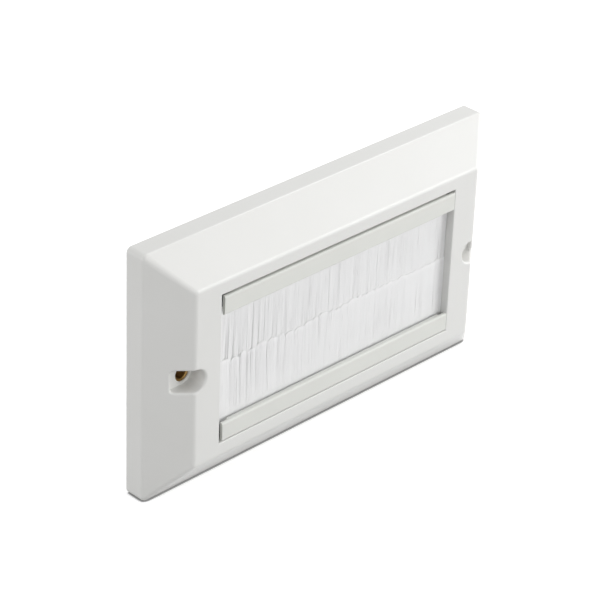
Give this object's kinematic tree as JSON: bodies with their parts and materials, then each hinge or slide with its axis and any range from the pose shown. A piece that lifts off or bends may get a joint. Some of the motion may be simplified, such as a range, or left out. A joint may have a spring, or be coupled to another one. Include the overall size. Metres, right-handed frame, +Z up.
{
  "type": "brush cable entry faceplate",
  "caption": "Bevelled wall faceplate with a long aperture closed by an upper and a lower strip brush that cables pass through.",
  "frame": {"origin": "middle of the back plane, which lies on the wall, halfway between the two fixing screws", "axes": "+X along the plate's length, +Y into the wall, +Z up"},
  "size_m": [0.146, 0.0172, 0.086],
  "materials": {
    "plate_plastic": "moulded, soft gloss white",
    "holder_plastic": "moulded, satin, slightly warmer white than the plate",
    "bush_brass": "turned, bare",
    "strip_steel": "zinc-plated sheet",
    "wire_steel": "drawn wire",
    "nylon_filament": "fine white nylon filament"
  },
  "bodies": {
    "root": {"faceplate": "plate_plastic", "left_screw_bush": "bush_brass", "right_screw_bush": "bush_brass", "upper_brush_holder": "holder_plastic", "lower_brush_holder": "holder_plastic", "upper_brush_strip": "strip_steel", "lower_brush_strip": "strip_steel", "upper_core_wire": "wire_steel", "lower_core_wire": "wire_steel", "upper_bristles": "nylon_filament", "lower_bristles": "nylon_filament"}
  },
  "joints": []
}
